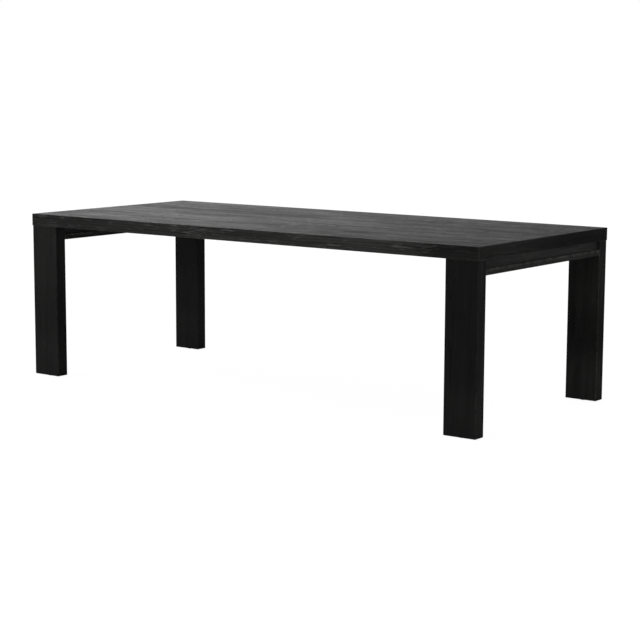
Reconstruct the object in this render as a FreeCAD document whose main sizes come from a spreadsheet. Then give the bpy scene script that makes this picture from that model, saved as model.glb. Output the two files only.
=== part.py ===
"""Parsons dining table in black stained oak.

A built-up slab, mitred all round, lies on two end frames. Each frame is two plank legs with a low
box beam between them: a flat board, an apron and an inner rail. Bolts through the beam hold the
slab, and every leg stands on a levelling foot. Millimetres, +X along the length, +Z up, and the
origin is on the floor under the middle of the table.
"""

import FreeCAD, Part
import math
import os
import re
import Sketcher

# Driving sizes, each in a cell of its own
SIZES = {
    # Whole table
    "length": 2438,
    "width": 1067,
    "height": 762,

    # Slab: its skin is one thickness all round, so that the mitres run at 45 degrees
    "slab_thickness": 55,
    "skin": 20,
    "slab_arris": 2,
    "slab_lower_ease": 1,
    "underside_thickness": 12,
    "end_core_margin": 20,
    "core_rail_width": 60,
    "rib_width": 45,

    # Legs: width runs along the table, depth across it
    "leg_width": 150,
    "leg_depth": 60,
    "leg_set_back": 2,
    "leg_arris": 2.5,

    # End beams between the legs
    "board_thickness": 25,
    "board_inset": 3,
    "board_ease": 1.5,
    "rail_height": 37.5,
    "rail_thickness": 25,
    "rail_recess": 11,
    "block_length": 90,

    # Loose tenons and dowels, with the room that glue needs round them and past their ends
    "tenon_length": 44,
    "tenon_thickness": 8,
    "rail_tenon_width": 24,
    "board_tenon_width": 40,
    "dowel_radius": 6,
    "dowel_length": 50,
    "dowel_margin": 35,
    "dowel_ease": 1.5,
    "glue_room": 0.1,
    "end_room": 1,

    # Bolts that hold each end frame to the slab
    "bolt_radius": 4,
    "bolt_length": 75,
    "bolt_tip": 1,
    "bolt_margin": 14,
    "bolt_room": 0.5,
    "head_radius": 6.5,
    "head_height": 8,
    "head_ease": 0.8,
    "socket_flats": 6,
    "socket_depth": 4,
    "washer_radius": 10,
    "washer_thickness": 1.6,
    "washer_room": 1,
    "counterbore_depth": 11,
    "insert_radius": 6,
    "insert_length": 25,
    "thread_room": 0.05,

    # Levelling feet
    "foot_reveal": 4,
    "pad_radius": 16,
    "pad_room": 2,
    "pad_rim": 4.5,
    "pad_bevel": 1,
    "pad_sole": 3,
    "pad_shoulder": 6,
    "boss_radius": 11,
    "boss_height": 9,
    "disc_radius": 7,
    "disc_thickness": 3,
    "disc_play": 0.1,
    "disc_room": 0.3,
    "stem_radius": 4,
    "stem_length": 40,
    "stem_tip": 1,
    "stem_room": 1,
    "collar_flats": 13,
    "collar_height": 5,
    "collar_gap": 0.5,
    "flange_radius": 11,
    "flange_thickness": 1.5,
    "foot_insert_radius": 6,
    "foot_insert_length": 25,

    # How far every cut runs past the face that it opens
    "overrun": 5,
}

# Sizes and places worked out from the driving ones
DERIVED = {
    "slab_underside": "height - slab_thickness",
    "arris_tip": "slab_arris * (1 - sqrt(2) / 2)",
    "core_height": "slab_thickness - skin - underside_thickness",
    "core_span": "width - 2 * skin",
    "core_run": "2 * (frame_place - leg_width / 2 - end_core_margin)",
    "frame_place": "length / 2 - leg_set_back - leg_width / 2",
    "leg_place": "width / 2 - leg_set_back - leg_depth / 2",
    "leg_height": "slab_underside - foot_reveal",
    "beam_span": "width - 2 * (leg_set_back + leg_depth)",
    "beam_depth": "rail_height + board_thickness",
    "board_width": "leg_width - 2 * board_inset",
    "rail_place": "leg_width / 2 - rail_recess - rail_thickness / 2",
    "block_width": "leg_width - 2 * (rail_recess + rail_thickness)",
    "block_place": "beam_span / 2 - block_length / 2",
    "rail_tenon_reach": "(rail_tenon_width - tenon_thickness) / 2",
    "board_tenon_reach": "(board_tenon_width - tenon_thickness) / 2",
    "board_tenon_spacing": "board_width / 2",
    "mortise_depth": "tenon_length / 2 + end_room",
    "dowel_spacing": "leg_width - 2 * dowel_margin",
    "bolt_spacing": "block_width - 2 * bolt_margin",
    "bolt_hole_radius": "bolt_radius + bolt_room",
    "counterbore_radius": "washer_radius + washer_room",
    "washer_level": "counterbore_depth - washer_thickness - beam_depth",
    "insert_hole_depth": "max(insert_length; washer_level + bolt_length) + end_room",
    "collar_level": "boss_height + collar_gap",
    "collar_top": "collar_level + collar_height",
    "recess_radius": "pad_radius + pad_room",
    "recess_depth": "collar_top + flange_thickness - foot_reveal",
    "stem_top": "collar_top + stem_length",
}

RIB_COUNT = 5
BOLT_COLUMNS = 2
BOLT_ROWS = 3
HEX_SIDES = 6

UPRIGHT = FreeCAD.Vector(0, 0, 1)
ALONG = FreeCAD.Vector(1, 0, 0)
ACROSS = FreeCAD.Vector(0, 1, 0)

doc = FreeCAD.newDocument("ParsonsTable")
sheet = doc.addObject("Spreadsheet::Sheet", "Sizes")
pieces = []


def fill_sheet():
    """Write every driving size to its own named cell."""
    for row, (name, value) in enumerate(SIZES.items(), start=1):
        sheet.set(f"A{row}", name)
        sheet.set(f"B{row}", str(value))
        sheet.setAlias(f"B{row}", name)
    doc.recompute()


def bound(words):
    """Turn a sum of size names into an expression on the sheet's cells."""
    def cell(found):
        name = found[0]
        if name in SIZES:
            return f"Sizes.{name}"
        if name in DERIVED:
            return f"({bound(DERIVED[name])})"
        return name
    return re.sub(r"[a-z][a-z_]*", cell, words)


def value_of(words):
    """Work out a sum of size names."""
    return float(sheet.evalExpression(bound(words)))


def new_body(label):
    """Start a piece, which is also written out under this label."""
    body = doc.addObject("PartDesign::Body", label)
    body.Label = label
    pieces.append(body)
    return body


def origin_feature(body, role):
    """Find one of a body's own axes or planes."""
    return next(part for part in body.Origin.OriginFeatures if part.Role == role)


def sketch_on(body, role, name, offset="0", shift="0"):
    """Start a sketch on an origin plane, moved along its normal and its own first axis."""
    sketch = body.newObject("Sketcher::SketchObject", name)
    sketch.AttachmentSupport = [(origin_feature(body, role), "")]
    sketch.MapMode = "FlatFace"
    sketch.setExpression("AttachmentOffset.Base.z", bound(offset))
    sketch.setExpression("AttachmentOffset.Base.x", bound(shift))
    return sketch


def fix(sketch, kind, element, point, words):
    """Tie one coordinate of a sketch point to a sum of sizes."""
    index = sketch.addConstraint(Sketcher.Constraint(kind, -1, 1, element, point, value_of(words)))
    sketch.setExpression(f"Constraints[{index}]", bound(words))


def fix_point(sketch, element, point, place):
    """Tie a sketch point to its place."""
    fix(sketch, "DistanceX", element, point, place[0])
    fix(sketch, "DistanceY", element, point, place[1])


def vector(place):
    """Sketch vector of a place given in size names."""
    return FreeCAD.Vector(value_of(place[0]), value_of(place[1]), 0)


def outline(sketch, places, arc_centres=None):
    """Draw a closed outline through places; a place named in arc_centres is reached by an arc."""
    arc_centres = arc_centres or {}
    ends = []
    for number, place in enumerate(places):
        start, finish = vector(places[number - 1]), vector(place)
        if number not in arc_centres:
            element = sketch.addGeometry(Part.LineSegment(start, finish), False)
            ends.append((element, 1, 2))
            continue
        centre = vector(arc_centres[number])
        angles = [math.atan2((spot - centre).y, (spot - centre).x) for spot in (start, finish)]
        turns_left = math.sin(angles[1] - angles[0]) > 0
        circle = Part.Circle(centre, UPRIGHT, (start - centre).Length)
        low, high = angles if turns_left else reversed(angles)
        element = sketch.addGeometry(Part.ArcOfCircle(circle, low, high), False)
        ends.append((element, 1, 2) if turns_left else (element, 2, 1))
    for number, (element, _, tail) in enumerate(ends):
        following, head, _ = ends[(number + 1) % len(ends)]
        sketch.addConstraint(Sketcher.Constraint("Coincident", element, tail, following, head))
        if number in arc_centres:
            fix_point(sketch, element, 3, arc_centres[number])
            spoke = vector(places[number]) - vector(arc_centres[number])
            if abs(spoke.y) > abs(spoke.x):
                fix(sketch, "DistanceX", element, tail, places[number][0])
            else:
                fix(sketch, "DistanceY", element, tail, places[number][1])
        else:
            fix_point(sketch, element, tail, places[number])


def rectangle(sketch, low, high):
    """Draw a rectangle between two opposite corners."""
    outline(sketch, [low, (high[0], low[1]), high, (low[0], high[1])])


def circles(sketch, places, radius):
    """Draw circles of one radius."""
    for place in places:
        circle = Part.Circle(vector(place), UPRIGHT, value_of(radius))
        element = sketch.addGeometry(circle, False)
        fix_point(sketch, element, 3, place)
        index = sketch.addConstraint(Sketcher.Constraint("Radius", element, value_of(radius)))
        sketch.setExpression(f"Constraints[{index}]", bound(radius))


def slot(sketch, first, second, radius):
    """Draw a slot with round ends about two centres."""
    start, finish = vector(first), vector(second)
    radius_now = value_of(radius)
    reach = (finish - start).normalize() * radius_now
    side = FreeCAD.Vector(-reach.y, reach.x, 0)
    heading = math.atan2(reach.y, reach.x)
    quarter = math.pi / 2
    far_end = Part.Circle(finish, UPRIGHT, radius_now)
    near_end = Part.Circle(start, UPRIGHT, radius_now)
    elements = [sketch.addGeometry(curve, False) for curve in (
        Part.LineSegment(start - side, finish - side),
        Part.ArcOfCircle(far_end, heading - quarter, heading + quarter),
        Part.LineSegment(finish + side, start + side),
        Part.ArcOfCircle(near_end, heading + quarter, heading + 3 * quarter),
    )]
    for number, element in enumerate(elements):
        following = elements[(number + 1) % len(elements)]
        sketch.addConstraint(Sketcher.Constraint("Tangent", element, 2, following, 1))
    sketch.addConstraint(Sketcher.Constraint("Equal", elements[1], elements[3]))
    fix_point(sketch, elements[3], 3, first)
    fix_point(sketch, elements[1], 3, second)
    index = sketch.addConstraint(Sketcher.Constraint("Radius", elements[1], radius_now))
    sketch.setExpression(f"Constraints[{index}]", bound(radius))


def hexagon(sketch, flats):
    """Draw a hexagon about the sketch's origin, given the size across its flats."""
    turn = 360 / HEX_SIDES
    outline(sketch, [
        (f"{flats} / sqrt(3) * cos({turn * side} deg)", f"{flats} / sqrt(3) * sin({turn * side} deg)")
        for side in range(HEX_SIDES)
    ])


def pad(sketch, depth, both_ways=False, reversed_way=False):
    """Raise a sketch into a solid."""
    body = sketch.getParentGeoFeatureGroup()
    feature = body.newObject("PartDesign::Pad", "Pad")
    feature.Profile = sketch
    feature.SideType = "Symmetric" if both_ways else "One side"
    feature.Reversed = reversed_way
    feature.setExpression("Length", bound(depth))
    doc.recompute()
    return feature


def cut(feature, volume_before):
    """Make sure that a cut has taken something away."""
    doc.recompute()
    if feature.Shape.Volume >= volume_before:
        raise RuntimeError(f"{feature.Label} cuts nothing")
    return feature


def pocket(sketch, depth=None, reversed_way=False):
    """Sink a sketch to a depth, or right through both ways."""
    body = sketch.getParentGeoFeatureGroup()
    volume_before = body.Tip.Shape.Volume
    feature = body.newObject("PartDesign::Pocket", "Pocket")
    feature.Profile = sketch
    if depth is None:
        feature.SideType = "Symmetric"
        feature.Type = "ThroughAll"
    else:
        feature.Reversed = reversed_way
        feature.setExpression("Length", bound(depth))
    return cut(feature, volume_before)


def revolution(sketch):
    """Turn a half section about its own upright axis."""
    body = sketch.getParentGeoFeatureGroup()
    feature = body.newObject("PartDesign::Revolution", "Revolution")
    feature.Profile = sketch
    feature.ReferenceAxis = (sketch, ["V_Axis"])
    doc.recompute()
    return feature


def groove(sketch):
    """Cut a half section turned about its own upright axis."""
    body = sketch.getParentGeoFeatureGroup()
    volume_before = body.Tip.Shape.Volume
    feature = body.newObject("PartDesign::Groove", "Groove")
    feature.Profile = sketch
    feature.ReferenceAxis = (sketch, ["V_Axis"])
    return cut(feature, volume_before)


def mirror(feature, role):
    """Repeat a feature on the other side of an origin plane."""
    body = feature.getParentGeoFeatureGroup()
    copy = body.newObject("PartDesign::Mirrored", "Mirrored")
    copy.Originals = [feature]
    copy.MirrorPlane = (origin_feature(body, role), [""])
    body.Tip = copy
    doc.recompute()
    return copy


def grid(features, columns, width, rows, depth):
    """Repeat features in columns along X and rows along Y."""
    body = features[0].getParentGeoFeatureGroup()
    pattern = body.newObject("PartDesign::LinearPattern", "Grid")
    pattern.Originals = features
    pattern.Direction = (origin_feature(body, "X_Axis"), [""])
    pattern.Occurrences = columns
    pattern.setExpression("Length", bound(width))
    pattern.Direction2 = (origin_feature(body, "Y_Axis"), [""])
    pattern.Occurrences2 = rows
    pattern.setExpression("Length2", bound(depth))
    body.Tip = pattern
    doc.recompute()
    return pattern


def ease(body, kind, radius, picked):
    """Round or bevel the edges of a body that a test picks."""
    base = body.Tip
    names = [f"Edge{number}" for number, edge in enumerate(base.Shape.Edges, start=1) if picked(edge)]
    feature = body.newObject(f"PartDesign::{kind}", kind)
    feature.Base = (base, names)
    feature.setExpression("Radius" if kind == "Fillet" else "Size", bound(radius))
    doc.recompute()
    return feature


def runs_along(edge, direction):
    """Tell whether an edge is straight and runs along a direction."""
    if not isinstance(edge.Curve, Part.Line):
        return False
    return edge.Curve.Direction.cross(direction).Length < Part.Precision.approximation()


def lies_at(edge, axis, words):
    """Tell whether a whole edge lies at one height, or one place along another axis."""
    level = value_of(words)
    nearness = Part.Precision.approximation()
    return all(abs(getattr(vertex, axis) - level) < nearness for vertex in edge.Vertexes)


def place(body, x="0", y="0", z="0", turn=0):
    """Put a piece in its place, turned about the upright axis by some degrees."""
    body.Placement = FreeCAD.Placement(FreeCAD.Vector(), FreeCAD.Rotation(UPRIGHT, turn))
    for axis, words in (("x", x), ("y", y), ("z", z)):
        body.setExpression(f"Placement.Base.{axis}", bound(words))


def mitre_waste(sketch, corner, end, face):
    """Draw what a 45 degree mitre takes off, with half of the rounded arris at its tip.

    corner is where the sharp arris would be; end and face are the ways out of the piece there,
    past its end and out of its shown face.
    """
    def spot(inwards, deep):
        return tuple(
            f"{corner[axis]} - ({end[axis]}) * ({inwards}) - ({face[axis]}) * ({deep})" for axis in (0, 1))
    far = "skin + overrun"
    places = [
        spot("slab_arris", "-overrun"),
        spot("-overrun", "-overrun"),
        spot("-overrun", far),
        spot(far, far),
        spot("arris_tip", "arris_tip"),
        spot("slab_arris", "0"),
    ]
    outline(sketch, places, {len(places) - 1: spot("slab_arris", "slab_arris")})


def make_top_panel():
    """Top panel of the slab, mitred to the drop edges on all four sides."""
    body = new_body("top_panel")
    face = sketch_on(body, "XY_Plane", "Face", "slab_thickness")
    rectangle(face, ("-length / 2", "-width / 2"), ("length / 2", "width / 2"))
    pad(face, "skin", reversed_way=True)
    end_waste = sketch_on(body, "XZ_Plane", "EndMitre")
    mitre_waste(end_waste, ("length / 2", "slab_thickness"), (1, 0), (0, 1))
    mirror(pocket(end_waste), "YZ_Plane")
    side_waste = sketch_on(body, "YZ_Plane", "SideMitre")
    mitre_waste(side_waste, ("width / 2", "slab_thickness"), (1, 0), (0, 1))
    mirror(pocket(side_waste), "XZ_Plane")
    place(body, z="slab_underside")


def make_drop_edge(label, run, reach, turn):
    """Drop edge of the slab, mitred along its top and at both ends."""
    body = new_body(label)
    section = sketch_on(body, "YZ_Plane", "Section")
    rectangle(section, (f"-{reach}", "0"), (f"skin - {reach}", "slab_thickness"))
    pad(section, run, both_ways=True)
    top_waste = sketch_on(body, "YZ_Plane", "TopMitre")
    mitre_waste(top_waste, (f"-{reach}", "slab_thickness"), (0, 1), (-1, 0))
    pocket(top_waste)
    end_waste = sketch_on(body, "XY_Plane", "EndMitre")
    mitre_waste(end_waste, (f"{run} / 2", f"-{reach}"), (1, 0), (0, -1))
    mirror(pocket(end_waste), "YZ_Plane")
    ease(body, "Chamfer", "slab_lower_ease",
         lambda edge: runs_along(edge, ALONG) and lies_at(edge, "Z", "0") and lies_at(edge, "Y", f"-{reach}"))
    place(body, z="slab_underside", turn=turn)


def bolt_places(frame="0"):
    """Places of one end frame's bolts, about a frame centre."""
    return [
        (f"{frame} + ({column}) * bolt_spacing / 2", f"({row}) * block_place")
        for column in (-1, 1) for row in (-1, 0, 1)
    ]


def dowel_places(frame="0"):
    """Places of the dowels over both legs of one end frame, about a frame centre."""
    return [
        (f"{frame} + ({column}) * dowel_spacing / 2", f"({row}) * leg_place")
        for column in (-1, 1) for row in (-1, 1)
    ]


def make_underside_panel():
    """Panel let in between the drop edges, bored for the inserts and dowels."""
    body = new_body("underside_panel")
    face = sketch_on(body, "XY_Plane", "Face")
    rectangle(face, ("skin - length / 2", "-core_span / 2"), ("length / 2 - skin", "core_span / 2"))
    pad(face, "underside_thickness")
    holes = sketch_on(body, "XY_Plane", "Holes")
    circles(holes, bolt_places("frame_place"), "insert_radius + glue_room")
    circles(holes, dowel_places("frame_place"), "dowel_radius + glue_room")
    mirror(pocket(holes), "YZ_Plane")
    place(body, z="slab_underside")


def make_end_core(label, side, turn):
    """Solid core over one end frame, with blind holes for the inserts and dowels."""
    body = new_body(label)
    face = sketch_on(body, "XY_Plane", "Face", "underside_thickness")
    rectangle(face, ("-leg_width / 2 - end_core_margin", "-core_span / 2"),
              ("leg_width / 2 + leg_set_back - skin", "core_span / 2"))
    pad(face, "core_height")
    insert_holes = sketch_on(body, "XY_Plane", "InsertHoles", "underside_thickness")
    circles(insert_holes, bolt_places(), "insert_radius + glue_room")
    pocket(insert_holes, "insert_hole_depth - underside_thickness", reversed_way=True)
    dowel_holes = sketch_on(body, "XY_Plane", "DowelHoles", "underside_thickness")
    circles(dowel_holes, dowel_places(), "dowel_radius + glue_room")
    pocket(dowel_holes, "dowel_length / 2 + end_room - underside_thickness", reversed_way=True)
    place(body, f"({side}) * frame_place", z="slab_underside", turn=turn)


def make_core_rail(label, side):
    """Long rail of the slab's framing, against a drop edge."""
    body = new_body(label)
    face = sketch_on(body, "XY_Plane", "Face", "underside_thickness")
    rectangle(face, ("-core_run / 2", "-core_rail_width / 2"), ("core_run / 2", "core_rail_width / 2"))
    pad(face, "core_height")
    place(body, y=f"({side}) * (core_span - core_rail_width) / 2", z="slab_underside")


def make_core_rib(number):
    """Cross rib of the slab's framing, one of an even row."""
    body = new_body(f"core_rib_{number}")
    face = sketch_on(body, "XY_Plane", "Face", "underside_thickness")
    rectangle(face, ("-rib_width / 2", "core_rail_width - core_span / 2"),
              ("rib_width / 2", "core_span / 2 - core_rail_width"))
    pad(face, "core_height")
    place(body, f"core_run * ({number} / {RIB_COUNT + 1} - 1 / 2)", z="slab_underside")


def rail_tenon_slot(sketch, x, level, room):
    """Draw the upright tenon of an apron or inner rail, below the level of the slab's underside."""
    middle = f"{level} - rail_height / 2"
    slot(sketch, (x, f"{middle} - rail_tenon_reach"), (x, f"{middle} + rail_tenon_reach"),
         f"tenon_thickness / 2 + {room}")


def board_tenon_slots(sketch, level, room):
    """Draw the two flat tenons of a bottom board, below the level of the slab's underside."""
    middle = f"{level} - rail_height - board_thickness / 2"
    for side in (-1, 1):
        centre = f"({side}) * board_tenon_spacing / 2"
        slot(sketch, (f"{centre} - board_tenon_reach", middle), (f"{centre} + board_tenon_reach", middle),
             f"tenon_thickness / 2 + {room}")


def make_leg(label, x_side, y_side):
    """Leg: a plank with eased arrises, mortised for the beam and bored for dowels and foot."""
    body = new_body(label)
    section = sketch_on(body, "XY_Plane", "Section")
    rectangle(section, ("-leg_width / 2", "-leg_depth / 2"), ("leg_width / 2", "leg_depth / 2"))
    pad(section, "leg_height")
    ease(body, "Fillet", "leg_arris", lambda edge: runs_along(edge, UPRIGHT) or lies_at(edge, "Z", "0"))
    dowel_holes = sketch_on(body, "XY_Plane", "DowelHoles", "leg_height")
    circles(dowel_holes, [("-dowel_spacing / 2", "0"), ("dowel_spacing / 2", "0")],
            "dowel_radius + glue_room")
    pocket(dowel_holes, "dowel_length / 2 + end_room")
    mortises = sketch_on(body, "XZ_Plane", "Mortises", "-leg_depth / 2")
    for side in (-1, 1):
        rail_tenon_slot(mortises, f"({side}) * rail_place", "leg_height", "glue_room")
    board_tenon_slots(mortises, "leg_height", "glue_room")
    pocket(mortises, "mortise_depth", reversed_way=True)
    bore = sketch_on(body, "XZ_Plane", "FootBore")
    sleeve, stem = "foot_insert_radius + glue_room", "stem_radius + stem_room"
    sleeve_top, stem_end = "recess_depth + foot_insert_length", "stem_top - foot_reveal + end_room"
    outline(bore, [
        ("0", "-overrun"), ("recess_radius", "-overrun"), ("recess_radius", "recess_depth"),
        (sleeve, "recess_depth"), (sleeve, sleeve_top), (stem, sleeve_top), (stem, stem_end), ("0", stem_end),
    ])
    groove(bore)
    turn = 0 if y_side < 0 else 180
    place(body, f"({x_side}) * frame_place", f"({y_side}) * leg_place", "foot_reveal", turn)


def make_rail(label, side, outwards):
    """Upright rail of a beam, mortised at both ends: the apron outside, the inner rail inside."""
    body = new_body(label)
    section = sketch_on(body, "XZ_Plane", "Section")
    rectangle(section, ("-rail_thickness / 2", "-rail_height"), ("rail_thickness / 2", "0"))
    pad(section, "beam_span", both_ways=True)
    mortise = sketch_on(body, "XZ_Plane", "Mortise", "beam_span / 2")
    rail_tenon_slot(mortise, "0", "0", "glue_room")
    mirror(pocket(mortise, "mortise_depth"), "XZ_Plane")
    place(body, f"({side}) * (frame_place + ({outwards}) * rail_place)", z="slab_underside")


def make_bottom_board(label, side):
    """Flat board of a beam, bored and counterbored for the bolts."""
    body = new_body(label)
    section = sketch_on(body, "XZ_Plane", "Section")
    rectangle(section, ("-board_width / 2", "-beam_depth"), ("board_width / 2", "-rail_height"))
    pad(section, "beam_span", both_ways=True)
    ease(body, "Fillet", "board_ease", lambda edge: runs_along(edge, ACROSS))
    mortises = sketch_on(body, "XZ_Plane", "Mortises", "beam_span / 2")
    board_tenon_slots(mortises, "0", "glue_room")
    mirror(pocket(mortises, "mortise_depth"), "XZ_Plane")
    holes = sketch_on(body, "XY_Plane", "BoltHoles")
    circles(holes, bolt_places(), "bolt_hole_radius")
    pocket(holes)
    counterbores = sketch_on(body, "XY_Plane", "Counterbores", "-beam_depth")
    circles(counterbores, bolt_places(), "counterbore_radius")
    pocket(counterbores, "counterbore_depth", reversed_way=True)
    place(body, f"({side}) * frame_place", z="slab_underside")


def make_block(label, side, row):
    """Block between apron and inner rail that the bolts pass through."""
    body = new_body(label)
    face = sketch_on(body, "XY_Plane", "Face")
    rectangle(face, ("-block_width / 2", "-block_length / 2"), ("block_width / 2", "block_length / 2"))
    circles(face, [("-bolt_spacing / 2", "0"), ("bolt_spacing / 2", "0")], "bolt_hole_radius")
    pad(face, "rail_height", reversed_way=True)
    place(body, f"({side}) * frame_place", f"({row}) * block_place", "slab_underside")


def make_loose_tenons(label, side):
    """Loose tenons between one beam and its two legs."""
    body = new_body(label)
    sections = sketch_on(body, "XZ_Plane", "Sections", "beam_span / 2")
    for rail_side in (-1, 1):
        rail_tenon_slot(sections, f"({rail_side}) * rail_place", "0", "0")
    board_tenon_slots(sections, "0", "0")
    mirror(pad(sections, "tenon_length", both_ways=True), "XZ_Plane")
    place(body, f"({side}) * frame_place", z="slab_underside")


def make_leg_dowels(label, side):
    """Dowels that keep two leg tops in place under the slab."""
    body = new_body(label)
    sections = sketch_on(body, "XY_Plane", "Sections")
    circles(sections, dowel_places(), "dowel_radius")
    pad(sections, "dowel_length", both_ways=True)
    ease(body, "Chamfer", "dowel_ease", lambda edge: isinstance(edge.Curve, Part.Circle))
    place(body, f"({side}) * frame_place", z="slab_underside")


def first_bolt_sketch(body, name):
    """Start a half section on the axis of the first bolt of an end frame."""
    return sketch_on(body, "XZ_Plane", name, "block_place", "-bolt_spacing / 2")


def bolt_grid(features):
    """Repeat a fastener over one end frame's bolt places."""
    grid(features, BOLT_COLUMNS, "bolt_spacing", BOLT_ROWS, "2 * block_place")


def make_frame_bolts(label, side):
    """Socket head bolts, put in from under the bottom board."""
    body = new_body(label)
    half = first_bolt_sketch(body, "HalfSection")
    under_head, tip = "washer_level", "washer_level + bolt_length"
    outline(half, [
        ("0", f"{under_head} - head_height"),
        ("head_radius - head_ease", f"{under_head} - head_height"),
        ("head_radius", f"{under_head} - head_height + head_ease"),
        ("head_radius", under_head),
        ("bolt_radius", under_head),
        ("bolt_radius", f"{tip} - bolt_tip"),
        ("bolt_radius - bolt_tip", tip),
        ("0", tip),
    ])
    turned = revolution(half)
    socket = sketch_on(body, "XY_Plane", "Socket", f"{under_head} - head_height", "-bolt_spacing / 2")
    socket.setExpression("AttachmentOffset.Base.y", bound("-block_place"))
    hexagon(socket, "socket_flats")
    bolt_grid([turned, pocket(socket, "socket_depth", reversed_way=True)])
    place(body, f"({side}) * frame_place", z="slab_underside")


def make_ring_group(label, side, inner, outer, low, high):
    """Plain rings over one end frame's bolt places, such as washers or sleeves."""
    body = new_body(label)
    half = first_bolt_sketch(body, "HalfSection")
    rectangle(half, (inner, low), (outer, high))
    bolt_grid([revolution(half)])
    place(body, f"({side}) * frame_place", z="slab_underside")


def make_foot_inserts():
    """Flanged threaded inserts in the bottoms of the four legs."""
    body = new_body("foot_inserts")
    half = sketch_on(body, "XZ_Plane", "HalfSection", "leg_place", "-frame_place")
    bore, shoulder = "stem_radius + thread_room", "collar_top + flange_thickness"
    top = f"{shoulder} + foot_insert_length"
    outline(half, [
        (bore, "collar_top"), ("flange_radius", "collar_top"), ("flange_radius", shoulder),
        ("foot_insert_radius", shoulder), ("foot_insert_radius", top), (bore, top),
    ])
    grid([revolution(half)], 2, "2 * frame_place", 2, "2 * leg_place")
    place(body)


def make_foot_stem(label, x_side, y_side):
    """Threaded stem with a hexagon collar and a disc that turns in the pad."""
    body = new_body(label)
    half = sketch_on(body, "XZ_Plane", "HalfSection")
    disc_top = "pad_sole + disc_thickness"
    outline(half, [
        ("0", "pad_sole"), ("disc_radius", "pad_sole"), ("disc_radius", disc_top), ("stem_radius", disc_top),
        ("stem_radius", "stem_top - stem_tip"), ("stem_radius - stem_tip", "stem_top"), ("0", "stem_top"),
    ])
    revolution(half)
    collar = sketch_on(body, "XY_Plane", "Collar", "collar_level")
    hexagon(collar, "collar_flats")
    pad(collar, "collar_height")
    place(body, f"({x_side}) * frame_place", f"({y_side}) * leg_place")


def make_foot_pad(label, x_side, y_side):
    """Round pad with a hollow boss that holds the stem's disc."""
    body = new_body(label)
    half = sketch_on(body, "XZ_Plane", "HalfSection")
    hollow, lip = "disc_radius + disc_room", "stem_radius + thread_room"
    ceiling = "pad_sole + disc_thickness + disc_play"
    outline(half, [
        ("0", "0"), ("pad_radius - pad_bevel", "0"), ("pad_radius", "pad_bevel"), ("pad_radius", "pad_rim"),
        ("boss_radius", "pad_shoulder"), ("boss_radius", "boss_height"), (lip, "boss_height"),
        (lip, ceiling), (hollow, ceiling), (hollow, "pad_sole"), ("0", "pad_sole"),
    ])
    revolution(half)
    place(body, f"({x_side}) * frame_place", f"({y_side}) * leg_place")


def make_slab():
    """Slab: skin, underside and the framing between them."""
    make_top_panel()
    make_drop_edge("front_edge", "length", "width / 2", 0)
    make_drop_edge("right_edge", "width", "length / 2", 90)
    make_drop_edge("back_edge", "length", "width / 2", 180)
    make_drop_edge("left_edge", "width", "length / 2", 270)
    make_underside_panel()
    make_end_core("right_end_core", 1, 0)
    make_end_core("left_end_core", -1, 180)
    make_core_rail("front_core_rail", -1)
    make_core_rail("back_core_rail", 1)
    for number in range(1, RIB_COUNT + 1):
        make_core_rib(number)


def make_end_frame(end, side):
    """Beam of one end frame, with what joins it to its legs and to the slab."""
    make_bottom_board(f"{end}_bottom_board", side)
    make_rail(f"{end}_apron", side, 1)
    make_rail(f"{end}_inner_rail", side, -1)
    for name, row in (("front", -1), ("middle", 0), ("back", 1)):
        make_block(f"{end}_{name}_block", side, row)
    make_loose_tenons(f"{end}_loose_tenons", side)
    make_leg_dowels(f"{end}_leg_dowels", side)
    make_frame_bolts(f"{end}_frame_bolts", side)
    make_ring_group(f"{end}_bolt_washers", side, "bolt_hole_radius", "washer_radius",
                    "washer_level", "washer_level + washer_thickness")
    make_ring_group(f"{end}_top_inserts", side, "bolt_radius + thread_room", "insert_radius",
                    "0", "insert_length")


def make_legs_and_feet():
    """Four legs, each on its levelling foot."""
    for front, y_side in (("front", -1), ("back", 1)):
        for end, x_side in (("left", -1), ("right", 1)):
            make_leg(f"{front}_{end}_leg", x_side, y_side)
            make_foot_stem(f"{front}_{end}_foot_stem", x_side, y_side)
            make_foot_pad(f"{front}_{end}_foot_pad", x_side, y_side)
    make_foot_inserts()


def check_document():
    """Stop before anything is written if a feature has failed or a piece isn't a sound solid."""
    doc.recompute()
    for item in doc.Objects:
        if "Invalid" in item.State or "Error" in item.State:
            raise RuntimeError(f"{item.Label} failed: {item.State}")
    for body in pieces:
        if body.Shape.isNull() or not body.Shape.isValid() or not body.Shape.Solids:
            raise RuntimeError(f"{body.Label} isn't a sound solid")


def write_parts():
    """Write every piece to its own file."""
    os.makedirs("parts", exist_ok=True)
    for body in pieces:
        body.Shape.exportStep(f"parts/{body.Label}.step")
        box = body.Shape.BoundBox
        print(f"{body.Label}: {len(body.Shape.Solids)} solids, {body.Shape.Volume:.1f} mm3, "
              f"z {box.ZMin:.2f} to {box.ZMax:.2f}")


fill_sheet()
make_slab()
make_end_frame("left", -1)
make_end_frame("right", 1)
make_legs_and_feet()
check_document()
write_parts()
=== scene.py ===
"""Dress a parsons dining table in black stained oak and set it in a white studio.

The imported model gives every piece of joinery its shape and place. This script finishes those
pieces, models the threaded fixings and the feet in full, and sets up floor, light and camera.
Metres throughout, +X along the table, +Z up.
"""

import logging
import math
from collections.abc import Callable, Iterable, Iterator, Mapping, Sequence
from contextlib import contextmanager
from dataclasses import dataclass, field, replace
from enum import Enum

import bmesh
import bpy
from mathutils import Euler, Matrix, Vector


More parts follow.
